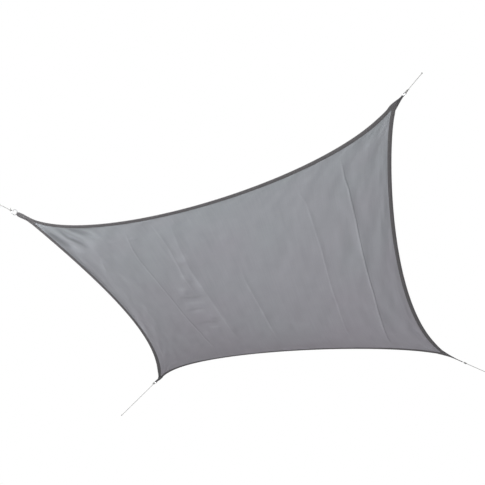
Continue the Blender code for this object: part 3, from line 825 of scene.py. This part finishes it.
class SHADESAIL_OT_straps(bpy.types.Operator):
    """Make each corner's strap and the webbing that loops it round the ring"""
    bl_idname = "shadesail.straps"
    bl_label = "Corner straps"

    def execute(self, context):
        material = bpy.data.materials["woven_polyester_webbing"]
        for number, corner in enumerate(CORNERS):
            points = placed(strap_points(number))
            body = finish_mesh(draped_grid(points, wrap=True), "strap_body_" + corner.name,
                               material, 50.0)
            settle(body, "edge_webbing", "strap_" + corner.name)
            points = placed(loop_points(number))
            loop = finish_mesh(draped_grid(points), "strap_loop_" + corner.name, material)
            thicken(loop, LOOP_WEBBING)
            settle(loop, "edge_webbing", "strap_" + corner.name)
        return {"FINISHED"}


# ---- rings
WELD_TURN = 78.0                # degrees from the pull to the weld where the wire's ends meet
WELD_RISE = 0.11                # share of the wire's radius by which the weld's low bead stands out
WELD_SPREAD = 3.6


class SHADESAIL_OT_rings(bpy.types.Operator):
    """Make the welded ring at each corner"""
    bl_idname = "shadesail.rings"
    bl_label = "Rings"

    def execute(self, context):
        material = steel_material()
        for number, corner in enumerate(CORNERS):
            bm = bmesh.new()
            upright = Matrix.Translation((RING_RADIUS, 0.0, 0.0)) @ Matrix.Rotation(pi / 2, 4, "X")
            bmesh.ops.create_circle(bm, segments=16, radius=WIRE_RADIUS, matrix=upright)
            bmesh.ops.spin(bm, geom=bm.verts[:] + bm.edges[:], cent=(0.0, 0.0, 0.0), axis=(0.0, 0.0, 1.0),
                           angle=2.0 * pi, steps=96, use_merge=True)
            for vert in bm.verts:
                turn = degrees(atan2(vert.co.y, vert.co.x)) - WELD_TURN
                middle = Vector((vert.co.x, vert.co.y, 0.0)).normalized() * RING_RADIUS
                vert.co = middle + (vert.co - middle) * (1.0 + WELD_RISE * exp(-(turn / WELD_SPREAD) ** 2))
            bmesh.ops.recalc_face_normals(bm, faces=bm.faces)
            bmesh.ops.transform(bm, matrix=PLACE @ ring_matrix(number), verts=bm.verts)
            ring = finish_mesh(bm, "steel_ring_" + corner.name, material, 60.0)
            settle(ring, "ring_steel", "ring_" + corner.name)
        return {"FINISHED"}


# ---- ropes and knots
ROPE_LAY = 0.021                # length over which a strand goes once round the rope
ROPE_SIDES = 18


def rope_grid(path):
    """A three-strand rope along a path: its outline has three round lobes, and turns with the lay."""
    path = np.asarray(path, dtype=float)
    reach = path_reach(path)
    around = np.linspace(0.0, 2.0 * pi, ROPE_SIDES + 1)
    lobe = np.mod(around + pi / 3, 2.0 * pi / 3) - pi / 3
    strand, offset = ROPE_RADIUS * 0.57, ROPE_RADIUS * 0.43
    outline = offset * np.cos(lobe) + np.sqrt(strand ** 2 - (offset * np.sin(lobe)) ** 2)
    along = unit(np.gradient(path, axis=0))
    side = np.cross(along[0], (0.0, 0.0, 1.0))
    side = side if np.linalg.norm(side) > 0.2 else np.cross(along[0], (0.0, 1.0, 0.0))
    rings = []
    for index, way in enumerate(along):
        side = unit(side - way * side.dot(way))
        turns = around + 2.0 * pi * reach[index] / ROPE_LAY
        round_way = np.cos(turns)[:, None] * side + np.sin(turns)[:, None] * np.cross(way, side)
        rings.append(path[index] + outline[:, None] * round_way)
    rings = np.array(rings)
    rings[:, -1] = rings[:, 0]
    return draped_grid(rings, wrap=True)


def on_ring(number, points):
    """Points given in a ring's own frame, X along the pull, moved to where they belong."""
    return placed(points, PLACE @ ring_matrix(number))


def hitch_reach():
    """How far from the strap's end the hitch knot reaches along the pull."""
    return 2 * RING_RADIUS + WIRE_ROOM + 2 * ROPE_RADIUS + HITCH_LENGTH - HITCH_BITE


def hitch_path():
    """The rope's end: in along the pull, over the ring's wire, back, and wound round the standing part."""
    wire = RING_RADIUS
    into = [(hitch_reach() - wire, 0.0, 0.0), (0.046, 0.0, 0.0), (0.039, 0.0, 0.0008), (0.033, 0.0, 0.0036),
            (wire + 0.004, 0.0, 0.006), (wire, 0.0, 0.0067), (wire - 0.0047, 0.0, 0.0047),
            (wire - 0.0066, 0.0, 0.0), (wire - 0.0047, 0.0, -0.0047), (wire, 0.0, -0.0067),
            (wire + 0.004, 0.0004, -0.0066)]
    wraps = [(0.033 + 0.0145 * turn / 900.0, 0.0057 * cos(radians(-90.0 - turn)),
              0.0057 * sin(radians(-90.0 - turn))) for turn in range(20, 881, 30)]
    tail = [(0.0482, 0.0035, 0.0056), (0.0494, 0.009, 0.0046), (0.051, 0.015, 0.0026),
            (0.0528, 0.0206, 0.0008)]
    return smooth_path(into + wraps + tail, 190)


def end_knot_path(corner):
    """A stopper knot: the rope's end wound round it and drawn tight."""
    far = corner.rope_reach - RING_RADIUS
    near = far - END_KNOT_LENGTH
    into = [(near, 0.0, 0.0), (near + 0.004, 0.0, 0.0), (far - 0.0045, 0.0, 0.001), (far - 0.003, 0.0, 0.003)]
    wraps = [(far - 0.0042 - 0.0085 * turn / 720.0, 0.0037 * cos(radians(90.0 + turn)),
              0.0037 * sin(radians(90.0 + turn))) for turn in range(40, 721, 40)]
    tail = [(near + 0.0022, 0.004, 0.003), (near + 0.0016, 0.008, 0.0012)]
    return smooth_path(into + wraps + tail, 90)


def rope_ends(corner):
    """Where the taut rope starts and ends between its knots, along the pull from the ring's centre."""
    start = hitch_reach() + GAP - RING_RADIUS
    end = corner.rope_reach - END_KNOT_LENGTH - GAP - RING_RADIUS
    return start, end


class SHADESAIL_OT_ropes(bpy.types.Operator):
    """Make each corner's rope, the hitch that ties it to the ring and the knot at its far end"""
    bl_idname = "shadesail.ropes"
    bl_label = "Ropes"

    def execute(self, context):
        settings = context.scene.shade_sail
        material = rope_material(settings)
        for number, corner in enumerate(CORNERS):
            start, end = rope_ends(corner)
            steps = max(8, round((end - start) / 0.0018))
            line = on_ring(number, [(reach, 0.0, 0.0) for reach in np.linspace(start, end, steps)])
            hitch, knot = on_ring(number, hitch_path()), on_ring(number, end_knot_path(corner))
            for path, name, node in ((line, "rope_line_", "rope_"), (hitch, "hitch_knot_", "hitch_"),
                                     (knot, "stopper_", "end_knot_")):
                piece = finish_mesh(rope_grid(path), name + corner.name, material, 70.0)
                settle(piece, "rope_fibre", node + corner.name)
        return {"FINISHED"}


# ---- stitching
STITCH_SHARE = 0.42             # half a stitch, as a share of the pitch
THREAD_RADIUS = 0.00055
THREAD_RISE = 0.00042


def stitch_line(stitches, points, normals, pitch):
    """Place stitches end to end along a line on a surface: each is a centre and its three half sizes."""
    points = np.asarray(points)
    reach = path_reach(points)
    marks = np.arange(pitch / 2, reach[-1], pitch)
    way = unit(read_at(marks + 0.001, reach, points) - read_at(marks - 0.001, reach, points))
    up = unit(read_at(marks, reach, np.asarray(normals)))
    grain = (way * pitch * STITCH_SHARE, np.cross(up, way) * THREAD_RADIUS, up * THREAD_RISE)
    stitches.append(np.stack((*grain, read_at(marks, reach, points)), axis=1))


def sewn(name, stitches, material):
    """One mesh of many stitches, each a copy of one small grain of thread."""
    bm = bmesh.new()
    bmesh.ops.create_icosphere(bm, subdivisions=1, radius=1.0)
    grain = np.array([(*vert.co, 1.0) for vert in bm.verts])
    faces = np.array([[vert.index for vert in face.verts] for face in bm.faces])
    bm.free()
    every = np.concatenate(stitches)
    vertices = np.einsum("gi,nij->ngj", grain, every).reshape(-1, 3)
    joined = (faces[None] + len(grain) * np.arange(len(every))[:, None, None]).reshape(-1, 3)
    mesh = bpy.data.meshes.new(name)
    mesh.from_pydata(placed(vertices).tolist(), [], joined.tolist())
    mesh.shade_smooth()
    mesh.materials.append(material)
    return settle(add_object(name, mesh), "edge_webbing")


def edge_stitches(number, thickness, pitch):
    """Two rows of stitches on each face of an edge's webbing."""
    stitches = []
    share = np.linspace(0.0, 1.0, 400)
    seam, _, out, normal = edge_frames(number, share)
    width = webbing_width(number, share)[:, None]
    rise = thickness / 2 + GAP + WEBBING_THICKNESS + 0.0003
    for place in (0.0045 + 0.0 * width, width - 0.0055):
        for face in (1.0, -1.0):
            stitch_line(stitches, seam + out * place + normal * rise * face, normal * face, pitch)
    return stitches


def corner_stitches(number, pitch):
    """The box and cross that hold the looped webbing, and a row round the patch on the webbing's ends."""
    stitches = []
    run = CORNERS[number].neck_length
    low, high = LOOP_START + 0.005 / run, 1.0 - 0.017 / run
    box = (((low, 0.8), (high, 0.8)), ((low, -0.8), (high, -0.8)), ((low, 0.8), (low, -0.8)),
           ((high, 0.8), (high, -0.8)), ((low, 0.8), (high, -0.8)), ((low, -0.8), (high, 0.8)))
    for face in (1.0, -1.0):
        for (start, start_offset), (end, end_offset) in box:
            line, ups = [], []
            for part in np.linspace(0.0, 1.0, 30):
                offset = start_offset + (end_offset - start_offset) * part
                row, up = loop_row(number, start + (end - start) * part, face)
                spot = read_at(-offset, -ACROSS, row)
                line.append(spot + up * (LOOP_WEBBING / 2 + 0.0001))
                ups.append(up)
            stitch_line(stitches, line, ups, pitch)
        points, through, _ = strap_middle(number, -0.021 / run, np.linspace(0.9, -0.9, 30))
        rise = strap_half_thickness(0.0) + 0.0001
        stitch_line(stitches, points + through * face * rise, np.tile(through * face, (30, 1)), pitch)
    return stitches


class SHADESAIL_OT_stitching(bpy.types.Operator):
    """Sew the webbing and the straps"""
    bl_idname = "shadesail.stitching"
    bl_label = "Stitching"

    def execute(self, context):
        settings = context.scene.shade_sail
        material = thread_material(settings)
        for number, edge in enumerate(EDGES):
            stitches = edge_stitches(number, settings.cloth_thickness, settings.stitch_pitch)
            sewn("stitches_" + edge.name, stitches, material)
        for number, corner in enumerate(CORNERS):
            sewn("stitches_" + corner.name, corner_stitches(number, settings.stitch_pitch * 0.7), material)
        return {"FINISHED"}


# ---- stage
class SHADESAIL_OT_stage(bpy.types.Operator):
    """Make the floor, the light and the camera"""
    bl_idname = "shadesail.stage"
    bl_label = "Stage"

    def execute(self, context):
        settings = context.scene.shade_sail
        base = settings.floor_colour
        bm = bmesh.new()
        bmesh.ops.create_circle(bm, cap_ends=True, segments=64, radius=FLOOR_RADIUS)
        bmesh.ops.translate(bm, verts=bm.verts, vec=(*SAIL_MIDDLE[:2], CAMERA_PLACE[2] - EYE_HEIGHT))
        material, tree, shader = new_material("matt_floor_paint")
        place = add_node(tree, "TexCoord").outputs["Object"]
        speck = add_node(tree, "TexNoise", [("Vector", place), ("Scale", 1.5)])
        tone = add_node(tree, "Mix", [(0, speck), (6, colour4(base, 0.99)), (7, colour4(base, 1.01))],
                        data_type="RGBA")
        # the camera sees the floor paler than the light on the sail alone would make it
        seen = add_node(tree, "LightPath").outputs["Is Camera Ray"]
        pale = add_node(tree, "MapRange", [("Value", seen), ("To Max", FLOOR_GLOW)])
        feed(shader, [("Base Color", tone.outputs[2]), ("Roughness", 0.9), ("Emission Color", colour4(base)),
                      ("Emission Strength", pale)])
        finish_mesh(bm, "floor", material)

        world = bpy.data.worlds.new("studio")
        world.use_nodes = True
        tree = world.node_tree
        seen = add_node(tree, "LightPath").outputs["Is Camera Ray"]
        strength = add_node(tree, "MapRange", [("Value", seen), ("To Min", settings.ambient_light)])
        feed(tree.nodes["Background"], [("Color", (1.0, 1.0, 1.0, 1.0)), ("Strength", strength)])
        context.scene.world = world
        context.scene.view_settings.view_transform = "Standard"
        for name, place, size, power in SOFT_BOXES:
            light = bpy.data.lights.new(name, "AREA")
            light.size = size
            light.energy = power
            box = add_object(name, light)
            box.location = place
            box.rotation_euler = (Vector(SAIL_MIDDLE) - Vector(place)).to_track_quat("-Z", "Y").to_euler()
            box.visible_camera = False

        camera_data = bpy.data.cameras.new("camera")
        camera_data.lens = CAMERA_LENS
        camera_data.sensor_width = 36.0
        camera = add_object("camera", camera_data)
        camera.matrix_world = (Matrix.Translation(CAMERA_PLACE)
                               @ Matrix.Rotation(radians(CAMERA_HEADING), 4, "Z")
                               @ Matrix.Rotation(radians(90.0 + CAMERA_CLIMB), 4, "X")
                               @ Matrix.Rotation(radians(CAMERA_ROLL), 4, "Z"))
        context.scene.camera = camera
        return {"FINISHED"}


class SHADESAIL_PT_panel(bpy.types.Panel):
    """The sail's pieces, in the order in which they are made"""
    bl_label = "Shade sail"
    bl_idname = "SHADESAIL_PT_panel"
    bl_space_type = "VIEW_3D"
    bl_region_type = "UI"
    bl_category = "Shade sail"

    def draw(self, context):
        for name in ShadeSailSettings.__annotations__:
            self.layout.prop(context.scene.shade_sail, name)
        for step in STEPS:
            self.layout.operator(step.bl_idname)


STEPS = (SHADESAIL_OT_stage, SHADESAIL_OT_ropes, SHADESAIL_OT_cloth, SHADESAIL_OT_webbing,
         SHADESAIL_OT_straps, SHADESAIL_OT_rings, SHADESAIL_OT_stitching)
CLASSES = (ShadeSailSettings, *STEPS, SHADESAIL_PT_panel)


def register():
    for item in CLASSES:
        bpy.utils.register_class(item)
    bpy.types.Scene.shade_sail = bpy.props.PointerProperty(type=ShadeSailSettings)


def unregister():
    del bpy.types.Scene.shade_sail
    for item in reversed(CLASSES):
        bpy.utils.unregister_class(item)


def main():
    register()
    bpy.ops.shadesail.stage()
    bpy.ops.shadesail.ropes()
    bpy.ops.shadesail.cloth()
    bpy.ops.shadesail.webbing()
    bpy.ops.shadesail.straps()
    bpy.ops.shadesail.rings()
    bpy.ops.shadesail.stitching()


if __name__ == "__main__":
    main()
